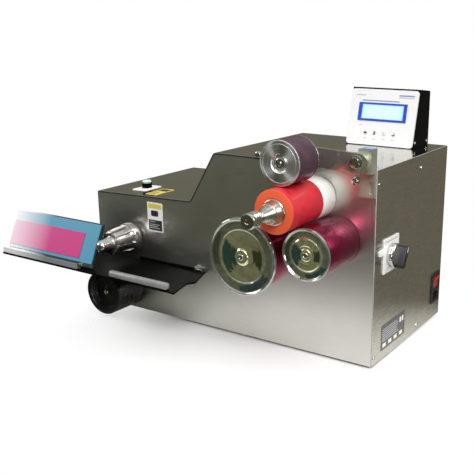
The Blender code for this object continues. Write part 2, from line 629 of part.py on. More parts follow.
def build_dial():
    y, z = DIAL_YZ
    face = rounded([(27.5, 140.4), (79.7, 140.4), (79.7, 193.3), (27.5, 193.3), (27.5, 181.0), (13.0, 179.5),
                    (13.0, 171.5), (27.5, 170.0)], [2.0, 2.0, 2.0, 2.0, 0.0, 1.5, 1.5, 0.0], 3)
    plate_yz("dial_plate", [face, circle(y, z, 3.6, 16)], WIDTH + GAP, WIDTH + 1.6, "aluminium")
    profile = [(0.0, 12.0), (16.2, 12.0), (17.2, 11.0), (17.2, 2.2), (3.2, 2.2), (3.2, -14.0), (0.0, -14.0)]
    knob = lathe("dial_knob", profile, (WIDTH, y, z), "satin_black", 28, (0.0, pi / 2, 0.0))
    wing = plate_yz("dial_wing", [rectangle(y - 5.2, z - 17.2, y + 5.2, z + 17.2, 4.4, 3)], WIDTH + 11.0, WIDTH + 26.0,
                    None, (y, z), CUTTERS)
    wing.matrix_world = wing.matrix_world @ Matrix.Rotation(radians(-28.0), 4, "Z")
    join = knob.modifiers.new("Join", "BOOLEAN")
    join.operation = "UNION"
    join.solver = "EXACT"
    join.object = wing


def build_inlet():
    """Power inlet: a bezel with a rocker switch above a three-pin socket."""
    y0, y1 = INLET_Y
    z0, z1 = INLET_Z
    bezel = rectangle(y0, z0, y1, z1, 3.0)
    side_x = WIDTH + GAP
    inlet = plate_yz("inlet_body", [bezel], side_x, side_x + 1.4, "satin_black")
    back = box("inlet_back", (520.0, y0 + 4.5, z0 + 3.0), (side_x + 1.0, y1 - 4.5, z1 - 3.0), None,
               collection=CUTTERS)
    join = inlet.modifiers.new("Join", "BOOLEAN")
    join.operation = "UNION"
    join.solver = "EXACT"
    join.object = back
    rocker_space = box("rocker_space", (530.0, 231.7, ROCKER_Z - 12.0), (560.0, 254.3, ROCKER_Z + 12.0), None,
                       collection=CUTTERS)
    socket = rounded([(231.8, 36.5), (254.2, 36.5), (254.2, 46.0), (249.4, 51.0), (236.6, 51.0), (231.8, 46.0)],
                     [2.0, 2.0, 1.0, 1.0, 1.0, 1.0], 2)
    socket_space = plate_yz("socket_space", [socket], 532.0, 560.0, None, collection=CUTTERS)
    cut(inlet, rocker_space, socket_space)

    pivot = (543.0, ROCKER_Z)
    section = [(6.8, 10.4), (5.2, 0.0), (6.8, -10.4), (-6.0, -8.5), (-6.0, 8.5)]
    outline = [(pivot[0] + x, pivot[1] + z) for x, z in section]
    rocker = plate_xz("rocker", [outline], 232.1, 253.9, "rocker_red", pivot)
    rocker.rotation_euler = (pi / 2, radians(ROCKER_TILT), 0.0)
    bevel(rocker, 0.6, 1, 30.0)


build_cabinet()
build_reels()
build_heated_roller()
build_pressure_roller()
build_mandrel()
build_guide_roller()
build_shelf()
build_feed_rest()
build_control_box()
build_button()
build_dial()
build_inlet()
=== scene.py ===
"""Visual model of the bench-top hot foil stamper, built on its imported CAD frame.

Lengths in the tables below are millimetres from the cabinet's front left corner at floor level: X along the
front, Y to the back, Z up. Every piece's mesh sits in the frame's own coordinates, with its object at the
origin.
"""
from math import atan2, cos, hypot, pi, radians, sin, tan

import bmesh
import bpy
from mathutils import Matrix, Vector


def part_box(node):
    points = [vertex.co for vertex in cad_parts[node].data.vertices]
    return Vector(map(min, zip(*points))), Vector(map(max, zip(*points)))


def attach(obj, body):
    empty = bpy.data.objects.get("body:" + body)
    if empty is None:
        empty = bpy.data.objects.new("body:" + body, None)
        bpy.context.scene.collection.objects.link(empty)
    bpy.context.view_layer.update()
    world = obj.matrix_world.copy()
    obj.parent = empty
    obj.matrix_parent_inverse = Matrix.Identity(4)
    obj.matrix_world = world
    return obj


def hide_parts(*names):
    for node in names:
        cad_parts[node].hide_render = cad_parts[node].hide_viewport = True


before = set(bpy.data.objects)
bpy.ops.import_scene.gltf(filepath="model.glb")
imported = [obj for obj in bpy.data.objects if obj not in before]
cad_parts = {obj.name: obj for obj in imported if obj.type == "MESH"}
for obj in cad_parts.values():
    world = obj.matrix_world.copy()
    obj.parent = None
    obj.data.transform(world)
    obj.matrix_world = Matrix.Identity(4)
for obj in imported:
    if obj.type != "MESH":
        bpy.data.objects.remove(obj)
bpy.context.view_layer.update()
FRONT_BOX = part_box("front_panel")
CORNER = Vector((FRONT_BOX[0][0], FRONT_BOX[0][1], 0))
MM = 0.001

# The cabinet's length, height and depth, and the low deck: its height at the left, its run and its rise.
LENGTH, HEIGHT, DEPTH = 547, 300, 266
DECK_LOW, DECK_RUN, DECK_RISE = 208.7, 211.6, 6.3

# Axes of the turned groups on the front panel, as (X, Z).
MANDREL = (85, 138)
GUIDE = (64, 46.5)
TAKEUP = (382, 172.4)
SUPPLY = (488, 192.2)
HEAT = (452.8, 253)
PRESS = (453, 316.6)
PIVOT = (527, 313.5)

# The control box: its front's foot as (Y, Z), how far that front leans back and rises, the X of the fascia's
# left edge and of the case's sides, and the middle of the display window as (X, Z).
BOX_FOOT = (195, 300)
BOX_SLOPE = (22.5, 91)
FASCIA_LEFT = 393.5
CASE_LEFT, CASE_RIGHT = 392.8, 513.7
LCD = (453.5, 354.5)

# The dial: its axis on the right side as (Y, Z), its plate's outer face in X, and its grip's foot in X, its
# height and how far it leans.
DIAL = (53.6, 166.8)
DIAL_PLATE = 548.6
GRIP_FOOT, GRIP_TALL = 558.1, 14.9
DIAL_LEAN = radians(-28)

STICKER = 0.25      # a label's thickness
PRINT = 0.12        # how far printing stands proud


def at(x, y, z):
    """A point given as the tables give it, in the frame, in metres."""
    return Vector((x, y, z)) * MM + CORNER


# ---- material building

def connect(tree, socket, value):
    """Feeds a socket from a node's output, or sets it to a constant."""
    if isinstance(value, bpy.types.NodeSocket):
        tree.links.new(value, socket)
    else:
        socket.default_value = value


def wire(tree, pbr, **sockets):
    """Connects the shader's sockets by name, with _ for a space."""
    for key, value in sockets.items():
        connect(tree, pbr[key.replace("_", " ")], value)


def node(tree, kind, out=0, props=None, **inputs):
    """Adds a shader node, sets its properties and inputs (i0, i1 or by name), returns one of its outputs."""
    made = tree.nodes.new("ShaderNode" + kind)
    for key, value in (props or {}).items():
        setattr(made, key, value)
    for key, value in inputs.items():
        numbered = key[0] == "i" and key[1:].isdigit()
        socket = made.inputs[int(key[1:]) if numbered else key.replace("_", " ")]
        connect(tree, socket, value)
    return made.outputs[out]


def maths(tree, operation, a, b=0):
    return node(tree, "Math", props={"operation": operation}, i0=a, i1=b)


def times(tree, a, b):
    return maths(tree, "MULTIPLY", a, b)


def ramp(tree, fac, stops):
    """A colour ramp; a stop's colour may be one number, for a grey."""
    made = tree.nodes.new("ShaderNodeValToRGB")
    tree.links.new(fac, made.inputs[0])
    points = made.color_ramp.elements
    while len(points) < len(stops):
        points.new(0.5)
    for point, (place, colour) in zip(points, stops):
        point.position = place
        if isinstance(colour, (int, float)):
            colour = (colour, colour, colour)
        point.color = (*colour, 1)
    return made.outputs[0]


def between(tree, value, low, high, to_low=0, to_high=1):
    return node(tree, "MapRange", Value=value, From_Min=low, From_Max=high, To_Min=to_low, To_Max=to_high)


def place(tree):
    """The point on the surface, in millimetres from the cabinet's corner."""
    coords = node(tree, "TexCoord", out=3)
    moved = node(tree, "VectorMath", props={"operation": "SUBTRACT"}, i0=coords, i1=tuple(CORNER))
    return node(tree, "VectorMath", props={"operation": "SCALE"}, i0=moved, i3=1000)


def split(tree, vector):
    made = tree.nodes.new("ShaderNodeSeparateXYZ")
    tree.links.new(vector, made.inputs[0])
    return made.outputs


def join(tree, x, y, z):
    return node(tree, "CombineXYZ", i0=x, i1=y, i2=z)


def noise(tree, vector, scale, detail=3, rough=0.55):
    return node(tree, "TexNoise", Vector=vector, Scale=scale, Detail=detail, Roughness=rough)


def stretch(tree, vector, factors):
    return node(tree, "VectorMath", props={"operation": "MULTIPLY"}, i0=vector, i1=factors)


def mix(tree, fac, a, b, kind="MIX"):
    made = tree.nodes.new("ShaderNodeMix")
    made.data_type = "RGBA"
    made.blend_type = kind
    for number, value in ((0, fac), (6, a), (7, b)):
        connect(tree, made.inputs[number], (*value, 1) if isinstance(value, tuple) else value)
    return made.outputs[2]


def bump(tree, height, strength, distance=0.0002):
    return node(tree, "Bump", Height=height, Strength=strength, Distance=distance)


def polar(tree, centre):
    """Radius in millimetres and angle about an axis that runs along Y through centre (X, Z)."""
    x, _, z = split(tree, place(tree))
    dx = maths(tree, "SUBTRACT", x, centre[0])
    dz = maths(tree, "SUBTRACT", z, centre[1])
    radius = maths(tree, "SQRT", maths(tree, "ADD", times(tree, dx, dx), times(tree, dz, dz)))
    return radius, maths(tree, "ARCTAN2", dz, dx)


MADE = {}


def shader(name, build):
    """The material of that name, made once by build(tree, principled)."""
    if name not in MADE:
        made = bpy.data.materials.new(name)
        made.use_nodes = True
        tree = made.node_tree
        build(tree, tree.nodes["Principled BSDF"].inputs)
        MADE[name] = made
    return MADE[name]


def sheet_steel(name, colour, grain, rough=(0.17, 0.27), relief=0.08):
    """Polished sheet with fine brushing lines along its length, faint clouds and slight waviness."""
    def build(tree, pbr):
        spot = place(tree)
        lines = noise(tree, stretch(tree, spot, grain), 2, 4, 0.7)
        cloud = noise(tree, spot, 0.012, 3)
        tint = mix(tree, 0.5, colour, ramp(tree, cloud, [(0.3, (0.86, 0.86, 0.80)), (0.7, 1)]), "MULTIPLY")
        streaks = ramp(tree, lines, [(0.3, 0.84), (0.7, 1)])
        waves = noise(tree, spot, 0.02, 2)
        height = maths(tree, "ADD", times(tree, waves, 3), lines)
        wire(tree, pbr, Base_Color=mix(tree, 0.8, tint, streaks, "MULTIPLY"), Metallic=1,
             Roughness=between(tree, lines, 0.3, 0.7, rough[0], rough[1]), Normal=bump(tree, height, relief))
    return shader(name, build)


def turned_metal(name, centre, colour=(0.78, 0.77, 0.74), rough=0.13, rings=1.1, aniso=0.6):
    """Lathe-turned bright metal, with fine rings about its axis."""
    def build(tree, pbr):
        radius, angle = polar(tree, centre)
        spot = place(tree)
        fine = noise(tree, join(tree, times(tree, radius, rings * 3), 0, 0), 1, 3, 0.7)
        coarse = noise(tree, join(tree, times(tree, radius, 0.35), times(tree, angle, 0.3), 0), 1)
        smudge = noise(tree, spot, 0.06, 3)
        stops = [(0.25, tuple(c * 0.62 for c in colour)), (0.75, colour)]
        tangent = node(tree, "Tangent", props={"direction_type": "RADIAL", "axis": "Y"})
        wire(tree, pbr, Base_Color=mix(tree, 0.5, ramp(tree, coarse, stops), ramp(tree, smudge, stops)),
             Metallic=1, Anisotropic=aniso, Tangent=tangent,
             Roughness=between(tree, fine, 0.3, 0.7, rough * 0.6, rough * 1.5),
             Normal=bump(tree, fine, 0.12, 0.00005))
    return shader(name, build)


def disc_metal(name, centre, edge):
    """A reel's mirror-turned disc, its room reflections painted into the colour: a warm face with teal and
    dark patches, and a brighter rim.
    """
    def build(tree, pbr):
        radius, angle = polar(tree, centre)
        wobble = noise(tree, place(tree), 0.10, 3)
        angle = maths(tree, "ADD", angle, between(tree, wobble, 0.3, 0.7, -0.35, 0.35))
        share = maths(tree, "DIVIDE", radius, edge)
        # Painted reflections in the ramp below: a white centre, the warm face, a bright ring, a darker outer
        # band and a grey rim.
        warm = (0.98, 0.98, 0.64)
        tint = ramp(tree, share, [(0, 1), (0.10, (1, 1, 0.95)), (0.13, warm), (0.64, warm),
                                  (0.67, (1, 1, 0.95)), (0.70, (0.66, 0.68, 0.52)),
                                  (0.915, (0.52, 0.56, 0.46)), (0.955, 0.66)])
        # Each painted reflection patch: its inner and outer radius as shares of the edge, its middle and half
        # angle, its tint.
        for low, high, turn, half, reflection_patch in ((0.20, 0.62, 184, 44, (0.16, 0.30, 0.40)),
                                             (0.34, 0.60, 8, 24, (0.20, 0.26, 0.20)),
                                             (0.72, 0.90, 176, 34, (0.45, 0.45, 0.40)),
                                             (0.72, 0.90, 300, 34, (0.30, 0.46, 0.66))):
            side = maths(tree, "COSINE", maths(tree, "SUBTRACT", angle, radians(turn)))
            wedge = between(tree, side, cos(radians(half + 5)), cos(radians(half - 5)))
            band = times(tree, between(tree, share, low - 0.02, low + 0.02),
                         between(tree, share, high + 0.02, high - 0.02))
            tint = mix(tree, times(tree, wedge, band), tint, mix(tree, 1, tint, reflection_patch, "MULTIPLY"))
        smudge = noise(tree, place(tree), 0.12, 4)
        tint = mix(tree, 0.6, tint, ramp(tree, smudge, [(0.35, (0.55, 0.56, 0.50)), (0.6, 1)]), "MULTIPLY")
        fine = noise(tree, join(tree, times(tree, radius, 3), 0, 0), 1, 3, 0.7)
        wire(tree, pbr, Base_Color=tint, Metallic=0.90, Roughness=between(tree, fine, 0.3, 0.7, 0.05, 0.12),
             Normal=bump(tree, maths(tree, "ADD", fine, times(tree, smudge, 2)), 0.10, 0.00008))
    return shader(name, build)


def plain_metal(name, colour=(0.74, 0.73, 0.70), rough=0.16, scale=0.4, metallic=1):
    """Bright metal with faint mottling; a metallic share under 1 stands for a dull, satin finish."""
    def build(tree, pbr):
        spot = place(tree)
        mottle = noise(tree, spot, scale, 4)
        tint = ramp(tree, mottle, [(0.25, tuple(c * 0.7 for c in colour)), (0.75, colour)])
        wire(tree, pbr, Base_Color=tint, Metallic=metallic,
             Roughness=between(tree, mottle, 0.3, 0.7, rough * 0.7, rough * 1.4),
             Normal=bump(tree, noise(tree, spot, 0.5, 2), 0.03, 0.0001))
    return shader(name, build)


def coated(name, colour, rough=0.45, vary=0.18, scale=0.15, coat=0, grain=1.6, depth=0.12, second=None,
           shine=0.5):
    """Paint, plastic or rubber: soft colour variation, a fine surface grain and uneven gloss."""
    def build(tree, pbr):
        spot = place(tree)
        mottle = noise(tree, spot, scale, 4)
        darker = second or tuple(c * (1 - vary) for c in colour)
        wire(tree, pbr, Base_Color=ramp(tree, mottle, [(0.3, darker), (0.7, colour)]),
             Roughness=between(tree, noise(tree, spot, scale * 4, 4), 0.3, 0.7, rough * 0.8, rough * 1.2),
             Normal=bump(tree, noise(tree, spot, grain, 3), depth, 0.0001), Specular_IOR_Level=shine,
             Coat_Weight=coat, Coat_Roughness=0.14)
    return shader(name, build)


def foil_metal(name, centre):
    """Wound metallic foil: crimson metal with faint rings where the web's edges lie, under a clear gloss."""
    def build(tree, pbr):
        spot = place(tree)
        _, y, _ = split(tree, spot)
        _, angle = polar(tree, centre)
        bands = noise(tree, join(tree, times(tree, y, 0.5), 0, times(tree, angle, 0.15)), 1, 2, 0.6)
        tint = ramp(tree, bands, [(0.25, (0.21, 0.004, 0.038)), (0.55, (0.28, 0.007, 0.060)),
                                  (0.8, (0.36, 0.013, 0.088))])
        ripple = noise(tree, stretch(tree, spot, (0.15, 0.02, 0.15)), 1, 2)
        wire(tree, pbr, Base_Color=tint, Metallic=0.9, Roughness=between(tree, bands, 0.3, 0.7, 0.24, 0.32),
             Normal=bump(tree, ripple, 0.04, 0.0004), Coat_Weight=0.3, Coat_Roughness=0.2)
    return shader(name, build)


def silicone(name, centre, face, side, front):
    """Red silicone: an end face in a lighter orange-red than the deeper, softly streaked side."""
    def build(tree, pbr):
        spot = place(tree)
        _, y, _ = split(tree, spot)
        reach, angle = polar(tree, centre)
        on_face = maths(tree, "LESS_THAN", y, front)
        streak = noise(tree, join(tree, times(tree, y, 0.06), 0, times(tree, angle, 1.6)), 1.5, 4)
        lathe_marks = noise(tree, join(tree, times(tree, reach, 1.2), 0, 0), 1, 3)
        side_tint = ramp(tree, streak, [(0.25, tuple(c * 0.72 for c in side)), (0.75, side)])
        face_tint = ramp(tree, lathe_marks, [(0.25, tuple(c * 0.86 for c in face)), (0.75, face)])
        wire(tree, pbr, Base_Color=mix(tree, on_face, side_tint, face_tint),
             Roughness=between(tree, streak, 0.3, 0.7, 0.42, 0.56),
             Normal=bump(tree, noise(tree, spot, 0.9, 4), 0.12, 0.0002), Coat_Weight=0.08,
             Coat_Roughness=0.25)
    return shader(name, build)


# ---- piece building

def new_object(name, data):
    made = bpy.data.objects.new(name, data)
    bpy.context.scene.collection.objects.link(made)
    return made


def finish_piece(name, bm, finish, body, smooth):
    """Makes a piece from bm, riding on body, smooth except at edges over that many degrees."""
    bmesh.ops.recalc_face_normals(bm, faces=bm.faces)
    mesh = bpy.data.meshes.new(name)
    bm.to_mesh(mesh)
    bm.free()
    obj = new_object(name, mesh)
    mesh.materials.append(finish)
    for face in mesh.polygons:
        face.use_smooth = True
    mesh.set_sharp_from_angle(angle=radians(smooth))
    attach(obj, body)
    return obj


def turned(name, axis, profile, finish, body, steps=96, sharp=32, shape=None):
    """A piece turned about an axis along Y, from profile points (radius, distance before the front panel).

    Where shape is given, it returns the radius for each (radius, distance, angle).
    """
    bm = bmesh.new()
    rings = []
    for radius, forward in profile:
        if radius < 0.001:
            rings.append([bm.verts.new(at(axis[0], -forward, axis[1]))])
            continue
        ring = []
        for step in range(steps):
            angle = 2 * pi * step / steps
            reach = shape(radius, forward, angle) if shape else radius
            x, z = axis[0] + reach * cos(angle), axis[1] + reach * sin(angle)
            ring.append(bm.verts.new(at(x, -forward, z)))
        rings.append(ring)
    pairs = list(zip(rings, rings[1:]))
    if len(rings[0]) > 1 or len(rings[-1]) > 1:
        pairs.append((rings[-1], rings[0]))
    for first, second in pairs:
        for step in range(steps):
            after = (step + 1) % steps
            corners = [first[step % len(first)], first[after % len(first)],
                       second[after % len(second)], second[step % len(second)]]
            unique = list(dict.fromkeys(corners))
            if len(unique) > 2:
                bm.faces.new(unique)
    return finish_piece(name, bm, finish, body, sharp)


def block(name, low, high, finish, edge, segments=2):
    """A block on the cabinet, with rounded edges, between two corners in millimetres."""
    bm = bmesh.new()
    bmesh.ops.create_cube(bm, size=1)
    for vert in bm.verts:
        vert.co = Vector([(a + b) / 2 + c * (b - a) for a, b, c in zip(low, high, vert.co)])
    bmesh.ops.bevel(bm, geom=list(bm.edges), offset=edge, segments=segments, affect="EDGES", profile=0.5)
    for vert in bm.verts:
        vert.co = at(*vert.co)
    return finish_piece(name, bm, finish, "cabinet", 40)


def prism(name, outline, depth, matrix, finish, body, edge=0, segments=2):
    """A plate: an outline in local XY, raised to depth along local Z, then placed by matrix."""
    bm = bmesh.new()
    low = [bm.verts.new((u, v, 0)) for u, v in outline]
    high = [bm.verts.new((u, v, depth)) for u, v in outline]
    bm.faces.new(low)
    top = bm.faces.new(high)
    total = len(outline)
    for i in range(total):
        bm.faces.new((low[i], low[(i + 1) % total], high[(i + 1) % total], high[i]))
    bmesh.ops.recalc_face_normals(bm, faces=bm.faces)
    if edge:
        bmesh.ops.bevel(bm, geom=list(top.edges), offset=edge, segments=segments, affect="EDGES", profile=0.5)
    for vert in bm.verts:
        vert.co = at(*(matrix @ vert.co))
    return finish_piece(name, bm, finish, body, 35)


def sticker(name, outline, thick, matrix, finish, edge=0):
    """A label, a print or a thin plate on the cabinet."""
    return prism(name, outline, thick, matrix, finish, "cabinet", edge=edge)


def rounded(points, radii, steps=5):
    """An outline through points, each corner rounded to its radius."""
    outline = []
    total = len(points)
    for i, (point, radius) in enumerate(zip(points, radii)):
        corner = Vector(point)
        before = (Vector(points[i - 1]) - corner).normalized()
        after = (Vector(points[(i + 1) % total]) - corner).normalized()
        if radius <= 0:
            outline.append(tuple(corner))
            continue
        half = before.angle(after) / 2
        middle = corner + (before + after).normalized() * (radius / sin(half))
        reach = radius / tan(half)
        start = corner + before * reach - middle
        end = corner + after * reach - middle
        first = atan2(start.y, start.x)
        sweep = (atan2(end.y, end.x) - first + pi) % (2 * pi) - pi
        for step in range(steps + 1):
            angle = first + sweep * step / steps
            outline.append((middle.x + radius * cos(angle), middle.y + radius * sin(angle)))
    return outline


def oblong(u0, v0, u1, v1, radius=0, steps=4):
    """A rectangle's outline between two corners, rounded where radius is set."""
    corners = [(u0, v0), (u1, v0), (u1, v1), (u0, v1)]
    return rounded(corners, [radius] * 4, steps) if radius else corners


def on_front(x=0, z=0, y=0):
    """Local X along the front, local Y up, local Z out of the front face."""
    return Matrix(((1, 0, 0, x), (0, 0, -1, y), (0, 1, 0, z), (0, 0, 0, 1)))


def on_right(y=0, z=0, x=LENGTH):
    """Local X to the back, local Y up, local Z out of the right side."""
    return Matrix(((0, 0, 1, x), (1, 0, 0, y), (0, 1, 0, z), (0, 0, 0, 1)))


def on_left(y, z, x=0):
    """Local X to the front, local Y up, local Z out of the left side."""
    return Matrix(((0, 0, -1, x), (-1, 0, 0, y), (0, 1, 0, z), (0, 0, 0, 1)))


def on_back(x, z):
    """Local X to the left, local Y up, local Z out of the back."""
    return Matrix(((-1, 0, 0, x), (0, 0, 1, DEPTH), (0, 1, 0, z), (0, 0, 0, 1)))


def on_deck(x, y):
    """Local X along the low deck, local Y to the back, local Z out of it."""
    slope = atan2(DECK_RISE, DECK_RUN)
    z = DECK_LOW + x * tan(slope)
    return Matrix.Translation((x, y, z)) @ Matrix.Rotation(-slope, 4, "Y")


def on_slope(foot, slope, x=0, proud=0):
    """Local X along X, local Y up a leaning plane, local Z out of its front."""
    length = hypot(*slope)
    up = (slope[0] / length, slope[1] / length)
    return Matrix(((1, 0, 0, x), (0, up[0], -up[1], foot[0] - up[1] * proud),
                   (0, up[1], up[0], foot[1] + up[0] * proud), (0, 0, 0, 1)))


def screw_head(name, matrix, radius=3.3, tall=1.5):
    """A domed screw head on the cabinet, with a crossed recess, standing on local Z = 0."""
    bm = bmesh.new()
    steps = 32
    turns = [2 * pi * step / steps for step in range(steps)]
    profile = [(radius, 0), (radius, tall * 0.35), (radius * 0.86, tall * 0.75), (radius * 0.6, tall * 0.95)]
    rings = [[bm.verts.new((r * cos(turn), r * sin(turn), h)) for turn in turns] for r, h in profile]
    inner = []
    for turn in turns:
        arm = max(abs(cos(turn)), abs(sin(turn)))
        reach = radius * (0.50 if arm > 0.97 else 0.20 if arm > 0.9 else 0.14)
        inner.append(bm.verts.new((reach * cos(turn), reach * sin(turn), tall)))
    floor = [bm.verts.new((v.co.x * 0.9, v.co.y * 0.9, tall * 0.45)) for v in inner]
    rings += [inner, floor]
    for first, second in zip(rings, rings[1:]):
        for s in range(steps):
            after = (s + 1) % steps
            bm.faces.new((first[s], first[after], second[after], second[s]))
    bm.faces.new(floor)
    bm.faces.new(list(reversed(rings[0])))
    for vert in bm.verts:
        vert.co = at(*(matrix @ vert.co))
    return finish_piece(name, bm, STEEL_PLAIN, "cabinet", 30)


def soften_group():
    """Smooth shading with edges over 30 degrees kept sharp, for the frame's own nodes."""
    group = bpy.data.node_groups.new("soft_shade", "GeometryNodeTree")
    group.interface.new_socket("Geometry", in_out="INPUT", socket_type="NodeSocketGeometry")
    group.interface.new_socket("Geometry", in_out="OUTPUT", socket_type="NodeSocketGeometry")
    add = group.nodes.new
    source = add("NodeGroupInput")
    sink = add("NodeGroupOutput")
    merge = add("GeometryNodeMergeByDistance")
    merge.inputs["Distance"].default_value = 0.000002
    faces = add("GeometryNodeSetShadeSmooth")
    edges = add("GeometryNodeSetShadeSmooth")
    edges.domain = "EDGE"
    edges.inputs["Shade Smooth"].default_value = False
    angle = add("GeometryNodeInputMeshEdgeAngle")
    over = add("FunctionNodeCompare")
    over.data_type = "FLOAT"
    over.operation = "GREATER_THAN"
    over.inputs[1].default_value = radians(30)
    link = group.links.new
    link(source.outputs[0], merge.inputs["Geometry"])
    link(merge.outputs[0], faces.inputs["Geometry"])
    link(faces.outputs[0], edges.inputs["Geometry"])
    link(angle.outputs["Unsigned Angle"], over.inputs[0])
    link(over.outputs[0], edges.inputs["Selection"])
    link(edges.outputs[0], sink.inputs[0])
    return group


SOFTEN = soften_group()


def dress(name, finish, edge=0, segments=2):
    """Gives a CAD node its finish, soft shading and, where edge is set, rounded edges."""
    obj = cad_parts[name]
    if not obj.material_slots:
        obj.data.materials.append(finish)
    for slot in obj.material_slots:
        slot.material = finish
    if edge:
        modifier = obj.modifiers.new("Edges", "BEVEL")
        modifier.width = edge * MM
        modifier.segments = segments
        modifier.limit_method = "ANGLE"
        modifier.angle_limit = radians(40)
    modifier = obj.modifiers.new("Shade", "NODES")
    modifier.node_group = SOFTEN


# ---- finishes

# One stainless steel in four copies, brushed along each face; the cover's darker tone is painted shade, for
# how dark its deck and top look.
STEEL_FRONT = sheet_steel("steel_front", (0.74, 0.73, 0.69), (0.015, 0.4, 0.7), rough=(0.28, 0.40))
STEEL_RIGHT = sheet_steel("steel_right", (0.66, 0.63, 0.56), (0.4, 0.012, 0.45), rough=(0.24, 0.30),
                          relief=0.015)
STEEL_COVER = sheet_steel("steel_cover", (0.60, 0.58, 0.53), (0.4, 0.015, 0.4), rough=(0.10, 0.17))
STEEL_BACK = sheet_steel("steel_back", (0.58, 0.56, 0.52), (0.015, 0.4, 1), rough=(0.24, 0.34))
STEEL_MIRROR = plain_metal("steel_mirror", (0.60, 0.62, 0.50), rough=0.34, scale=0.05, metallic=0.72)
STEEL_PLAIN = plain_metal("steel_plain", (0.80, 0.79, 0.76), rough=0.14)
BLACK_SATIN = coated("black_satin", (0.0035, 0.0035, 0.0035), rough=0.34, vary=0.3, scale=0.08, shine=0.03)
BLACK_PLASTIC = coated("black_plastic", (0.018, 0.018, 0.019), rough=0.42, vary=0.3, scale=0.2)
BLACK_RUBBER = coated("black_rubber", (0.025, 0.025, 0.025), rough=0.75, vary=0.3, scale=0.3)
PANEL_WHITE = coated("panel_white", (0.84, 0.84, 0.85), rough=0.35, vary=0.04, scale=0.05, coat=0.2,
                     grain=2, depth=0.05)
LABEL_WHITE = coated("label_white", (0.92, 0.91, 0.89), rough=0.45, vary=0.06, scale=0.1, coat=0.1)
LABEL_GREY = coated("label_grey", (0.11, 0.105, 0.10), rough=0.4, vary=0.15, scale=0.1, coat=0.1)
LABEL_BLACK = coated("label_black", (0.02, 0.02, 0.02), rough=0.4, vary=0.2, scale=0.1, coat=0.1)
LABEL_YELLOW = coated("label_yellow", (0.72, 0.62, 0.10), rough=0.45, vary=0.1, scale=0.1, coat=0.1)
PRINT_BLUE = coated("print_blue", (0.20, 0.28, 0.62), rough=0.45, vary=0.1, scale=0.3)
PRINT_GREY = coated("print_grey", (0.55, 0.56, 0.58), rough=0.45, vary=0.1, scale=0.3)


# ---- cabinet

def build_skin():
    """One bent sheet for the left side, deck, slant and top, with rounded bends."""
    outer = [(0, 4), (0, DECK_LOW), (DECK_RUN, DECK_LOW + DECK_RISE), (262.7, HEIGHT), (LENGTH, HEIGHT)]
    inner = [(1.5, 4), (1.5, 207.2), (212.5, 213.5), (263.6, 298.5), (LENGTH, 298.5)]
    outer_loop = rounded(outer, [0, 2.6, 7, 7, 0])
    inner_loop = rounded(inner, [0, 1.2, 8, 5.6, 0])
    outline = outer_loop + list(reversed(inner_loop))
    piece = prism("cabinet_skin", outline, 261.4, on_front(y=264.2), STEEL_COVER, "cabinet")
    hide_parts("left_panel", "deck_cover", "slant_cover", "top_cover")


def build_cabinet():
    build_skin()
    dress("front_panel", STEEL_FRONT, edge=0.5, segments=3)
    dress("rear_panel", STEEL_BACK, edge=0.4)
    dress("right_panel", STEEL_RIGHT, edge=0.4)
    dress("base_pan", STEEL_BACK, edge=0.3)
    dress("bearing_plate", plain_metal("plate_grey", (0.34, 0.35, 0.36), rough=0.35))
    dress("drive_motor", coated("motor_grey", (0.26, 0.27, 0.28), rough=0.4), edge=0.6)
    for key in ("mandrel", "guide", "takeup", "supply", "heat"):
        dress("bearing_" + key, STEEL_PLAIN, edge=0.3)
    for key in ("fl", "fr", "bl", "br"):
        dress("foot_" + key, BLACK_RUBBER, edge=0.4)
    for key, face, spots in (
            ("side", on_right, ((9.5, 278), (158, 279.5), (10, 14), (168, 14))),
            ("back", on_back, ((14, 14), (533, 14), (533, 286), (280, 286), (14, 196))),
            ("left", on_left, ((12, 20), (250, 20), (12, 196), (250, 196)))):
        for number, spot in enumerate(spots):
            screw_head("%s_screw_%d" % (key, number), face(*spot))


def build_labels():
    corner = (117, 152)
    sticker("data_label", oblong(0, 0, 34, 51, 1), STICKER, on_front(*corner), LABEL_WHITE)
    front = on_front(*corner, -STICKER)
    sticker("data_label_head", oblong(2.2, 40.5, 31.8, 48.5, 0.5), PRINT, front, LABEL_YELLOW)
    sticker("data_label_mark", oblong(8, 27, 24, 37, 2.5), PRINT, front, LABEL_BLACK)
    sticker("data_label_block", oblong(2.2, 2.2, 31.8, 20.5, 0.5), PRINT, front, LABEL_BLACK)
    inked = on_front(*corner, -STICKER - PRINT)
    for row, (z, end) in enumerate(((17, 17), (12, 26), (9, 22), (6, 27))):
        sticker("data_label_line_%d" % row, oblong(5, z, end, z + 1), 0.08, inked, PRINT_GREY)

    corner = (32, 17)
    sticker("rating_label", oblong(0, 0, 86, 41, 1), STICKER, on_right(*corner), LABEL_GREY)
    over = on_right(*corner, LENGTH + STICKER)
    for row in range(6):
        low = 14 + row * 3.6
        sticker("rating_line_%d" % row, oblong(4, low, 62 - row * 7 % 9, low + 1.3), 0.1, over, PRINT_GREY)
    for number, u in enumerate((6, 26, 46, 66)):
        sticker("rating_cell_%d" % number, oblong(u, 4, u + 11, 10), 0.1, over, LABEL_WHITE)
    for number, u in enumerate((66, 74.5)):
        sticker("rating_box_%d" % number, oblong(u, 25, u + 5.5, 34, 1.5), 0.1, over, LABEL_WHITE)

    deck = on_deck(51, 34)
    sticker("button_plate", oblong(0, 0, 31, 44, 1.5), 0.6, deck, LABEL_WHITE, edge=0.2)
    deck = on_deck(100, 14)
    sticker("deck_label", oblong(0, 0, 25, 49, 1.5), STICKER, deck, LABEL_YELLOW)
    over = deck @ Matrix.Translation((0, 0, STICKER))
    sticker("deck_label_band", oblong(3, 30, 22, 45, 1), 0.1, over, LABEL_BLACK)
    for row in range(4):
        sticker("deck_label_line_%d" % row, oblong(3, 6 + row * 5, 19 - row % 2 * 5, 7.6 + row * 5), 0.1,
                over, LABEL_BLACK)


# ---- rollers and reels

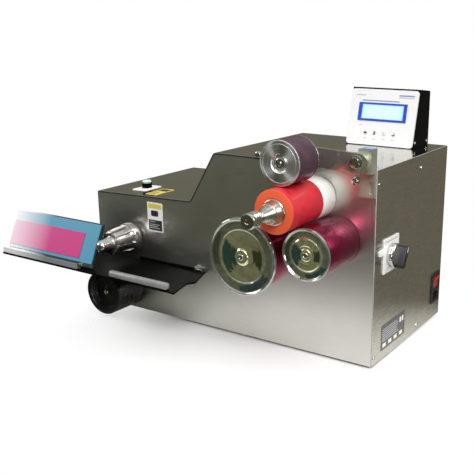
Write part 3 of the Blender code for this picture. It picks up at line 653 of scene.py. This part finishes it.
def build_press():
    dress("press_arm", plain_metal("arm_steel", (0.90, 0.92, 0.78), rough=0.13, scale=0.03, metallic=0.91),
          edge=0.6, segments=3)
    dress("pivot_block", STEEL_MIRROR, edge=0.7, segments=3)

    cap_metal = turned_metal("cap_metal", PRESS, (0.97, 0.97, 0.98), rough=0.32, rings=1.2, aniso=0.9)
    cap = [(5.3, 99.6), (11.2, 99.6), (12, 100), (12.4, 100.8), (12.4, 102.4), (12.9, 103.3), (13.6, 103.9),
           (14.6, 104), (26, 104), (26.3, 103.8), (26.6, 104), (30.2, 104), (31, 103.8), (31.5, 103.2),
           (31.6, 102.6), (31.5, 102.1), (31.2, 101.95), (16, 101.95), (16, 97), (5.3, 97)]
    piece = turned("press_end_cap", PRESS, cap, cap_metal, "pressure_roller")
    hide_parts("press_cap")
    plum = coated("press_plum", (0.080, 0.040, 0.062), rough=0.36, vary=0.35, scale=0.05, coat=0.12,
                  grain=0.8, depth=0.06, second=(0.044, 0.024, 0.036), shine=0.35)
    body = [(5.3, 96.7), (16.3, 96.7), (16.3, 101.7), (30.6, 101.7), (31, 101.3), (31, 55.4), (30.7, 55.2),
            (30.7, 54.5), (31, 54.3), (31, 52.4), (30.6, 52), (5.3, 52)]
    piece = turned("press_rubber", PRESS, body, plum, "pressure_roller")
    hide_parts("press_body")
    ring = [(31, 54), (31.5, 54), (31.6, 53.8), (31.6, 52.7), (31.5, 52.5), (31, 52.5)]
    turned("press_rim", PRESS, ring, STEEL_PLAIN, "pressure_roller")

    spindle = [(0, 103), (1.6, 103), (2.4, 102.2), (3.6, 102.2), (4, 103.2), (5.4, 103.4), (6.4, 103.3),
               (7.2, 102.8), (7.4, 102.2), (7.4, 99.8), (5, 99.8), (5, 51), (7.6, 51), (8, 50.6), (8, 26.3),
               (5, 26.3), (5, 14.6), (4.2, 13.8), (0, 13.8)]
    piece = turned("press_axle", PRESS, spindle, turned_metal("axle_metal", PRESS), "pressure_arm",
                   steps=64)
    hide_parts("press_spindle")

    bolt = [(0, 32.2), (6, 32.6), (7.2, 32.3), (8, 31.2), (8, 27), (9.6, 26.9), (9.8, 26.6), (9.6, 26.3),
            (5, 26.3), (5, 18), (4, 18), (4, 6), (0, 6)]

    def hexagon(radius, forward, angle):
        """Six flats, 14 mm across, on the bolt's head."""
        if radius < 5.5 or radius > 8.5 or forward < 26.9:
            return radius
        wedge = (angle + pi / 12) % (pi / 3) - pi / 6
        return min(radius, 7 / cos(wedge))
    piece = turned("pivot_bolt_head", PIVOT, bolt, STEEL_PLAIN, "cabinet", steps=72,
                   sharp=25, shape=hexagon)
    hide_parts("pivot_bolt")
    stud = [(0, 10.2), (3.4, 10), (4.8, 9.2), (5.6, 7.8), (5.8, 6), (5.4, 5.2), (4.6, 4.8), (4.6, 0.4),
            (0, 0.4)]
    # Painted reflection: a thin blue sheet on top of the pivot block stands in for the display's reflection
    # there.
    lcd_reflection_paint = coated("painted_lcd_reflection", (0.10, 0.27, 0.52), rough=0.25, vary=0.5, scale=0.12, coat=0.4)
    block("block_lcd_reflection", (526.2, -17.4, 331), (545.9, -0.6, 331.3), lcd_reflection_paint, edge=0.1)
    turned("stop_stud", (516.4, 283.5), stud, STEEL_PLAIN, "cabinet", steps=48)


def build_heat():
    silver = plain_metal("heat_end_metal", (0.58, 0.57, 0.50), rough=0.22, scale=0.05)
    shaft_metal = turned_metal("heat_shaft_metal", HEAT, (0.70, 0.69, 0.62), rough=0.12, rings=0.6, aniso=0.2)
    core = [(0, 170), (3.8, 170), (4.8, 169.6), (5, 168.8), (5, 156.4), (5.3, 155.8), (5.6, 154.6),
            (6.4, 151), (7.2, 150.4), (8.2, 146.4), (8.4, 145.8), (13.2, 131.4), (14, 130.8), (14.2, 129.4),
            (16.4, 121.4), (16.8, 120.6), (17.6, 120.2), (18.3, 119.6), (18.7, 118.8), (18.7, 37), (6, 37),
            (6, -94), (5, -95), (0, -95)]
    piece = turned("heat_shaft", HEAT, core, silver, "heated_roller")
    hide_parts("heat_core")
    red = silicone("silicone_red", HEAT, (0.90, 0.125, 0.045), (0.66, 0.016, 0.032), -117.4)
    sleeve = [(19, 118), (29.8, 118), (30.8, 117.7), (31.2, 117.2), (31.3, 116.4), (31.3, 38.6), (31.1, 37.8),
              (30.5, 37.3), (19, 37.3)]
    piece = turned("heat_silicone", HEAT, sleeve, red, "heated_roller", steps=112)
    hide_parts("heat_sleeve")
    white = coated("spacer_white", (0.95, 0.94, 0.90), rough=0.34, vary=0.05, scale=0.08, coat=0.2)
    spacer = [(6.3, 36.7), (29.6, 36.7), (30.5, 36.4), (30.8, 35.6), (30.8, 2), (30.5, 1.3), (29.8, 1),
              (6.3, 1)]
    piece = turned("heat_spacer", HEAT, spacer, white, "heated_roller")
    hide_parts("heat_collar")
    knob = [(0, 179.2), (2.6, 179.2), (3.4, 179.8), (8.4, 180), (10, 179.4), (10.8, 178.2), (11, 177)]
    for step in range(3):
        low = 173 - step * 5
        knob += [(11, low), (10.4, low - 0.6), (10.4, low - 1.6), (11, low - 2.2)]
    knob += [(10.6, 159.8), (9.8, 158.6), (8.6, 158), (5.3, 158), (5.3, 170.4), (0, 170.4)]
    piece = turned("heat_grip", HEAT, knob, shaft_metal, "heated_roller", steps=72)
    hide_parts("heat_knob")


def build_reels():
    chrome = disc_metal("takeup_chrome", TAKEUP, 57.8)
    flange = [(3.5, 96), (9.8, 96), (10.8, 95.6), (11.4, 94.8), (11.9, 93.8), (13, 93.2), (13.6, 93.1),
              (37.9, 93.1), (38.4, 93.1), (39.4, 92.9), (40.3, 93.3), (41.2, 93.7), (41.8, 93.8), (52, 93.8),
              (52.6, 93.9), (54, 94.9), (55, 95.8), (56.2, 96.1), (57.2, 95.7), (57.8, 94.7), (57.8, 91.4),
              (57.4, 90.3), (56.2, 89.6), (3.5, 88.3)]
    piece = turned("takeup_disc", TAKEUP, flange, chrome, "takeup_reel", steps=128)
    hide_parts("takeup_flange")
    roll = [(6.3, 87.9), (53.2, 87.9), (53.8, 87.6), (54, 87), (54, 2), (53.8, 1.3), (53.2, 1), (6.3, 1)]
    piece = turned("takeup_roll", TAKEUP, roll, foil_metal("foil_takeup", TAKEUP), "takeup_reel",
                   steps=128)
    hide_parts("takeup_foil")

    chrome = disc_metal("supply_chrome", SUPPLY, 37.8)
    flange = [(3.5, 94), (7, 94), (7.9, 93.7), (8.5, 92.9), (9, 92.1), (9.5, 91.9), (12, 91.9), (12.4, 92),
              (12.9, 92.2), (13.6, 92.5), (14.2, 92.5), (21.8, 92.5), (22.4, 92.4), (23.2, 91.8), (24, 91.3),
              (24.6, 91.2), (33, 91.2), (33.6, 91.3), (34.3, 91.9), (35.1, 93.2), (36.2, 94), (37.2, 93.8),
              (37.8, 92.9), (37.8, 89.8), (37.4, 88.9), (36.6, 88.4), (3.5, 86.3)]
    piece = turned("supply_disc", SUPPLY, flange, chrome, "supply_reel", steps=112)
    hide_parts("supply_flange")
    roll = [(6.3, 85.9), (35.8, 85.9), (36.3, 85.6), (36.5, 85.1), (36.5, 2), (36.3, 1.3), (35.8, 1),
            (6.3, 1)]
    piece = turned("supply_roll", SUPPLY, roll, foil_metal("foil_supply", SUPPLY), "supply_reel",
                   steps=112)
    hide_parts("supply_foil")

    # Each shaft: its body, the face that its end screw stands on, and where it thickens behind that.
    for key, axis, body, front, step in (("takeup", TAKEUP, "takeup_reel", 96.3, 88),
                                         ("supply", SUPPLY, "supply_reel", 94.3, 86),
                                         ("guide", GUIDE, "guide", 56.3, 44.4)):
        profile = [(0, front + 1.2), (1.7, front + 1.2), (1.9, front + 2.2), (3, front + 2.2),
                   (3.9, front + 1.8), (4.4, front + 1), (4.4, front), (3.2, front), (3.2, step),
                   (6, step), (6, -71), (5, -72), (0, -72)]
        piece = turned(key + "_axle", axis, profile, turned_metal(key + "_axle_metal", axis), body,
                       steps=48)
        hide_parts(key + "_shaft")


def build_mandrel():
    steel = plain_metal("mandrel_metal", (0.66, 0.65, 0.64), rough=0.22, scale=0.02)
    profile = [(0, 88.5), (2.2, 88.4), (4.4, 87.8), (6.6, 86.5), (8.4, 84.8), (9.7, 82.6), (10.4, 80),
               (10.8, 78), (12.2, 62.4), (12.4, 61.5), (13, 61), (17.4, 61), (18.6, 60.8), (19.6, 60),
               (20.2, 58.6)]
    profile += [(20.2 + 3.6 * t / 10, 58.6 - 34.8 * t / 10) for t in range(1, 11)]
    profile += [(23.8, 22.9), (24.2, 22.5), (25.2, 22.4), (25.7, 21.8), (25.8, 21), (25.8, 11), (25.6, 10.2),
                (24.9, 9.7), (17, 9.6), (17, 3.4), (6.3, 3.4), (6.3, 26), (0, 26)]

    def fluted(radius, forward, angle):
        """Ten slots along the cone, fading in over its last 3 mm towards the base ring."""
        if not 22.6 <= forward <= 60.9 or radius < 17:
            return radius
        wedge = abs((angle + pi / 10) % (pi / 5) - pi / 10) * radius
        fade = min(1, (forward - 22.6) / 3)
        return radius - 4.2 * fade * max(0, min(1, (2.6 - wedge) / 0.5))
    piece = turned("mandrel_body", MANDREL, profile, steel, "mandrel", steps=240,
                   sharp=22, shape=fluted)
    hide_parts("mandrel_cone")
    dress("mandrel_shaft", STEEL_PLAIN)


def build_guide():
    black = coated("guide_black", (0.006, 0.0055, 0.006), rough=0.30, vary=0.3, scale=0.05, coat=0,
                   grain=0.6, depth=0.06, shine=0.45)
    roller = [(3.5, 56), (7, 56), (7.8, 55.6), (8.1, 54.8), (8.3, 53.4), (9, 53), (25.4, 53), (26.8, 53.4),
              (27.6, 54.8), (29.4, 62.6), (30.2, 63.7), (31.4, 64), (36.6, 64), (37.8, 63.6), (38.2, 62.6),
              (38.2, 5.2), (37.9, 4.4), (37.2, 4), (6.3, 4), (6.3, 44.7), (3.5, 44.7)]
    piece = turned("guide_drum", GUIDE, roller, black, "guide", steps=112)
    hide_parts("guide_roller")


# ---- shelf, feed rest and controls

def feed_finish(name, left, right, x0, x1, rough):
    """A colour with a painted wash-out to a pale one at the feed rest's outer end, with a fine fibre grain.
    """
    def build(tree, pbr):
        spot = place(tree)
        along = split(tree, spot)[0]
        # Painted wash-out to white: the colour pales towards the rest's outer end.
        fade = between(tree, along, x0, x1)
        grain = noise(tree, stretch(tree, spot, (0.3, 1, 1)), 0.8, 4)
        tint = ramp(tree, fade, [(0, left), (1, right)])
        spots = ramp(tree, grain, [(0.3, 0.88), (0.7, 1)])
        wire(tree, pbr, Base_Color=mix(tree, 1, tint, spots, "MULTIPLY"),
             Roughness=between(tree, grain, 0.3, 0.7, rough * 0.85, rough * 1.15),
             Normal=bump(tree, grain, 0.05, 0.0001))
    return shader(name, build)


def build_shelf():
    dress("shelf", BLACK_SATIN, edge=0.6, segments=3)
    block("shelf_lip", (95, -2.3, 98), (222, -0.2, 102), BLACK_SATIN, edge=0.6)
    dress("shelf_bar", coated("bar_satin", (0.27, 0.28, 0.27), rough=0.30, vary=0.25, scale=0.08, coat=0.2,
                              grain=0.8, depth=0.06))
    # The ledge and the rest's back pale to white at their outer ends: painted wash-out.
    dress("feed_ledge", feed_finish("ledge_grey", (0.95, 0.95, 0.95), (0.26, 0.29, 0.31), -110, -30,
                                    0.35), edge=0.3)
    dress("feed_clip", STEEL_PLAIN)
    dress("feed_back", feed_finish("rest_black", (0.92, 0.94, 0.95), (0.008, 0.014, 0.018), -104, -42,
                                   0.5), edge=0.8, segments=3)
    block("shelf_hook", (222, -8, 98), (225, -0.1, 106.5), STEEL_PLAIN, edge=0.8)
    block("shelf_hook_tip", (225, -7.5, 100.5), (236, -4.5, 103), STEEL_PLAIN, edge=0.8)


def build_feed():
    # The mat and the sheet pale to white at their outer ends: painted wash-out.
    blue = feed_finish("mat_blue", (0.92, 0.95, 0.97), (0.050, 0.27, 0.42), -141, -50, 0.42)
    dress("feed_plate", blue, edge=0.4)
    pink = feed_finish("sheet_pink", (0.94, 0.72, 0.83), (0.55, 0.013, 0.19), -141, -40, 0.45)
    dress("feed_sheet", pink, edge=0.15)


def lcd_glow():
    """A back-lit window: white in the middle, bluer towards its edges, under a glossy front."""
    def build(tree, pbr):
        x, _, z = split(tree, place(tree))
        side = between(tree, maths(tree, "ABSOLUTE", maths(tree, "SUBTRACT", x, LCD[0])), 26, 37.5)
        tall = between(tree, maths(tree, "ABSOLUTE", maths(tree, "SUBTRACT", z, LCD[1])), 7, 11.5)
        edge = maths(tree, "MAXIMUM", side, tall)
        rows = noise(tree, stretch(tree, place(tree), (0.12, 1, 0.5)), 1, 2)
        glow = ramp(tree, edge, [(0, (0.60, 0.82, 0.90)), (0.7, (0.50, 0.76, 0.90)), (1, (0.22, 0.50, 0.90))])
        glow = mix(tree, 0.25, glow, ramp(tree, rows, [(0.35, (0.6, 0.85, 0.9)), (0.6, 1)]), "MULTIPLY")
        wire(tree, pbr, Base_Color=glow, Emission_Color=glow, Emission_Strength=0.22, Roughness=0.12)
    return shader("lcd_glow", build)


def build_controls():
    dress("control_box", BLACK_SATIN, edge=0.8, segments=3)
    dress("control_fascia", PANEL_WHITE, edge=0.5, segments=3)
    dress("lcd_frame", coated("lcd_blue", (0.035, 0.075, 0.55), rough=0.3, vary=0.2, scale=0.1, coat=0.4),
          edge=0.25)
    dress("lcd_window", lcd_glow(), edge=0.15)
    pale = coated("key_pale", (0.74, 0.75, 0.76), rough=0.45, vary=0.06, scale=0.4)
    ink = coated("key_ink", (0.03, 0.03, 0.04), rough=0.5, vary=0.2, scale=0.4)
    faint = coated("key_ink_faint", (0.45, 0.46, 0.48), rough=0.5, vary=0.1, scale=0.4)
    # Each key: its middle in X, the rectangles of its plain mark about its centre, and their ink.
    marks = ((427.4, ((-2.6, -1.3, 2.6, 1.5),), ink), (443.9, ((-1.3, -2.4, 1.3, 2.7),), ink),
             (460.9, ((-0.4, -2.4, 0.4, 2.4), (-2.4, 1.6, -0.4, 2.4)), faint),
             (478.2, ((-2.4, -2.2, 2.2, -0.9), (1, -0.9, 2.2, 1.9)), ink))
    for number, (x, shapes, kind) in enumerate(marks, start=1):
        dress("key_%d" % number, pale, edge=0.2)
        top = on_slope(BOX_FOOT, BOX_SLOPE, x, 1) @ Matrix.Translation((0, 21, 0))
        for part, corners in enumerate(shapes):
            prism("key_mark_%d_%d" % (number, part), oblong(*corners), 0.1, top, kind,
                  "key_" + "abcd"[number - 1])

    slope = on_slope(BOX_FOOT, BOX_SLOPE, FASCIA_LEFT)
    for name, (u0, v0, u1, v1), kind in (
            ("print_model", (9, 82, 26, 84), PRINT_GREY),
            ("print_block_a", (86, 83.4, 113, 85.6), PRINT_BLUE),
            ("print_block_b", (86, 80.2, 113, 82.2), PRINT_GREY),
            ("print_title", (21, 73.6, 88, 75.4), PRINT_BLUE),
            ("print_note_a", (20, 32.6, 27, 33.8), PRINT_GREY),
            ("print_note_b", (31, 11.6, 37, 12.8), PRINT_GREY),
            ("print_note_c", (47, 10.6, 54, 11.8), PRINT_GREY),
            ("print_note_d", (64, 11.6, 70, 12.8), PRINT_GREY),
            ("print_note_e", (80, 11, 88, 12.2), PRINT_GREY)):
        sticker(name, oblong(u0, v0, u1, v1, 0.3), PRINT, slope, kind)
    for number, (y, z) in enumerate(((206, 309), (255, 307))):
        screw_head("case_screw_r%d" % number, on_right(y, z, CASE_RIGHT), 2.8, 1.2)
        screw_head("case_screw_l%d" % number, on_left(y, z, CASE_LEFT), 2.8, 1.2)

    dress("button_collar", BLACK_SATIN, edge=0.3)
    lamp = coated("lamp_mint", (0.62, 0.86, 0.76), rough=0.22, vary=0.12, scale=0.2, coat=0.6)
    dress("button_cap", lamp, edge=0.5)


def build_side():
    dial_metal = coated("dial_plate_silver", (0.93, 0.92, 0.92), rough=0.3, vary=0.06, scale=0.4, coat=0.2)
    dress("dial_plate", dial_metal, edge=0.3)
    for number in range(11):
        angle = radians(-60 + number * 30)
        turn = on_right(*DIAL, DIAL_PLATE) @ Matrix.Rotation(angle, 4, "Z")
        sticker("dial_tick_%02d" % number, oblong(19.5, -0.3, 23 if number % 5 else 24.5, 0.3), PRINT, turn,
                PRINT_GREY)
    side = on_right(x=DIAL_PLATE)
    sticker("dial_heading", oblong(34, 187.4, 74, 189.6, 0.4), PRINT, side, PRINT_GREY)
    build_dial_knob()
    dress("inlet_body", BLACK_PLASTIC, edge=0.5, segments=3)
    rocker = coated("rocker_red", (0.42, 0.012, 0.012), rough=0.2, vary=0.3, scale=0.2, coat=0.6)
    dress("rocker", rocker, edge=0.3)
    pins = plain_metal("pin_brass", (0.75, 0.62, 0.38), rough=0.2)
    for number, (py, pz) in enumerate(((234, 40), (246, 40), (240, 45.5))):
        block("inlet_pin_%d" % number, (532.2, py - 1, pz - 2.2), (544, py + 1, pz + 2.2), pins,
              edge=0.5)


def build_dial_knob():
    """A silver knurled skirt, from (radius, distance out), and a black wing grip with a pointer line."""
    grip = coated("grip_black", (0.012, 0.014, 0.014), rough=0.42, vary=0.3, scale=0.2)
    profile = [(3.3, 2.2), (16.4, 2.2), (17, 2.6), (17.2, 3.4), (17.2, 8.6), (16.6, 9.6), (14.4, 11),
               (3.3, 11)]
    bm = bmesh.new()
    steps = 120
    rings = []
    for radius, out in profile:
        ring = []
        for step in range(steps):
            angle = 2 * pi * step / steps
            reach = radius - (0.45 if radius > 16.5 and step % 4 < 2 else 0)
            y, z = DIAL[0] + reach * cos(angle), DIAL[1] + reach * sin(angle)
            ring.append(bm.verts.new(at(LENGTH + out, y, z)))
        rings.append(ring)
    for first, second in zip(rings, rings[1:] + rings[:1]):
        for step in range(steps):
            after = (step + 1) % steps
            bm.faces.new((first[step], first[after], second[after], second[step]))
    piece = finish_piece("dial_skirt", bm, STEEL_PLAIN, "dial", 30)
    lean = on_right(*DIAL, GRIP_FOOT) @ Matrix.Rotation(DIAL_LEAN, 4, "Z")
    wing = prism("dial_grip", oblong(-5, -19.6, 5, 15, 4.4, 8), GRIP_TALL, lean, grip, "dial",
                 edge=1.2, segments=3)
    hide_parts("dial_knob")
    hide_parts("dial_knob")
    top = on_right(*DIAL, GRIP_FOOT + GRIP_TALL) @ Matrix.Rotation(DIAL_LEAN, 4, "Z")
    prism("dial_pointer", oblong(-0.7, 5, 0.7, 13.4, 0.3), 0.15, top, PANEL_WHITE, "dial")


def build_trim():
    """A dark seal on the front sheet's rim, folded corner edges whose lighter grey is a painted highlight,
    and a small post on the top.
    """
    post = [(0, 9.4), (3.2, 9.4), (4.2, 8.8), (4.5, 7.8), (4.5, 1.2), (4.1, 0.4), (3, 0.1), (0, 0.1)]
    turned("corner_post", (352, 306), post, STEEL_PLAIN, "cabinet", steps=40)
    outer = rounded([(0.4, 5), (0.4, 208.3), (211.6, 214.6), (262.7, 299.6), (546, 299.6)], [0, 2.6, 8, 8, 0])
    inner = rounded([(1.6, 5), (1.6, 206.1), (212.9, 212.4), (264.1, 297.3), (546, 297.3)],
                    [0, 1.4, 9.5, 6.5, 0])
    prism("edge_seal", outer + list(reversed(inner)), 0.2, on_front(), BLACK_RUBBER, "cabinet")
    # The folds' lighter, non-metal grey paints the highlight lines along the right corner and the top edge.
    bright = coated("fold_painted_highlight", (0.42, 0.41, 0.39), rough=0.32, vary=0.2, scale=0.05, coat=0.3)
    block("corner_fold", (546, -0.35, 4.4), (547.35, 1.3, 299.6), bright, edge=0.6, segments=3)
    block("top_fold", (546.2, 1.6, 299.2), (547.3, 264, 300.25), bright, edge=0.5, segments=3)


build_cabinet()
build_labels()
build_press()
build_heat()
build_reels()
build_mandrel()
build_guide()
build_shelf()
build_feed()
build_controls()
build_side()
build_trim()


# ---- stage, light and camera

def build_floor():
    """A pale floor that fades into the backdrop between two distances from a point under the reels."""
    fade_middle = (0.15, -0.03, 0)
    fade_start, fade_end = 0.17, 0.375

    def build(tree, pbr):
        coords = node(tree, "TexCoord", out=3)
        mottle = noise(tree, coords, 3, 2)
        away = node(tree, "VectorMath", props={"operation": "SUBTRACT"}, i0=coords, i1=fade_middle)
        reach = node(tree, "VectorMath", out=1, props={"operation": "LENGTH"}, i0=away)
        wire(tree, pbr, Base_Color=ramp(tree, mottle, [(0.3, 0.86), (0.7, 0.88)]), Roughness=0.6,
             Specular_IOR_Level=0.2, Alpha=between(tree, reach, fade_start, fade_end, 1, 0))
    bm = bmesh.new()
    bmesh.ops.create_circle(bm, cap_ends=True, segments=128, radius=2.4)
    mesh = bpy.data.meshes.new("floor")
    bm.to_mesh(mesh)
    bm.free()
    mesh.materials.append(shader("floor_pale", build))
    floor = new_object("floor", mesh)


def build_world():
    """White to the camera; to everything else a dim olive room, darker in front, with a bright ceiling."""
    world = bpy.data.worlds.new("studio")
    bpy.context.scene.world = world
    world.use_nodes = True
    tree = world.node_tree
    tree.nodes.clear()
    _, depth, height = split(tree, node(tree, "TexCoord", out=0))
    share = between(tree, height, -1, 1)
    sky = [(0.70, (0.24, 0.235, 0.21)), (0.80, (0.52, 0.52, 0.51)), (0.92, 0.80), (1, 1)]
    behind = ramp(tree, share, [(0, (0.17, 0.165, 0.13)), (0.42, (0.165, 0.155, 0.12)),
                                (0.60, (0.175, 0.165, 0.13))] + sky)
    before = ramp(tree, share, [(0, (0.062, 0.064, 0.038)), (0.42, (0.062, 0.066, 0.038)),
                                (0.60, (0.10, 0.10, 0.07))] + sky)
    room = mix(tree, between(tree, depth, -0.3, 0.3), before, behind)
    room_light = node(tree, "Background", Color=room, Strength=1)
    white = node(tree, "Background", Color=(1, 1, 1, 1), Strength=1)
    seen = node(tree, "LightPath", out=0)
    both = node(tree, "MixShader", i0=seen, i1=room_light, i2=white)
    sink = tree.nodes.new("ShaderNodeOutputWorld")
    tree.links.new(both, sink.inputs[0])


def softbox(name, spot, target, size, power):
    """A white area light at spot, facing target; lengths in metres, power in watts."""
    light = bpy.data.lights.new(name, "AREA")
    light.shape = "RECTANGLE"
    light.size, light.size_y = size
    light.energy = power
    holder = new_object(name, light)
    holder.location = spot
    holder.rotation_euler = (Vector(target) - Vector(spot)).to_track_quat("-Z", "Y").to_euler()
    return holder


def build_lights():
    softbox("key", (1.1, -1.2, 1.55), (0.05, 0, 0.12), (1.2, 0.8), 34)
    softbox("low_right", (1.75, -0.85, 0.36), (0.2, -0.1, 0.25), (0.22, 0.5), 4.5)
    back = softbox("back", (0.1, 1.5, 1.25), (0.1, 0, 0.2), (0.9, 0.5), 16)
    back.visible_glossy = False     # it would bleach the covers in views from above
    softbox("left_fill", (-1.5, -0.9, 0.9), (0, 0, 0.15), (0.8, 0.8), 8)
    softbox("right_fill", (1.7, 0.5, 1), (0.2, 0, 0.15), (0.8, 0.8), 8)


def build_camera():
    """The photograph's viewpoint, as a 36 mm wide frame with a small sideways shift."""
    azimuth, elevation = radians(32.48), radians(15.73)
    right = Vector((cos(azimuth), sin(azimuth), 0))
    back = Vector((sin(azimuth) * cos(elevation), -cos(azimuth) * cos(elevation), sin(elevation)))
    up = back.cross(right)
    data = bpy.data.cameras.new("camera")
    data.lens = 57.885
    data.sensor_width = 36
    data.shift_x = -0.1013
    data.clip_start = 0.05
    camera = new_object("camera", data)
    turn = Matrix((right, up, back)).transposed().to_4x4()
    camera.matrix_world = Matrix.Translation(at(996.2, -942.9, 497)) @ turn
    bpy.context.scene.camera = camera


build_floor()
build_world()
build_lights()
build_camera()
bpy.context.scene.view_settings.view_transform = "Standard"
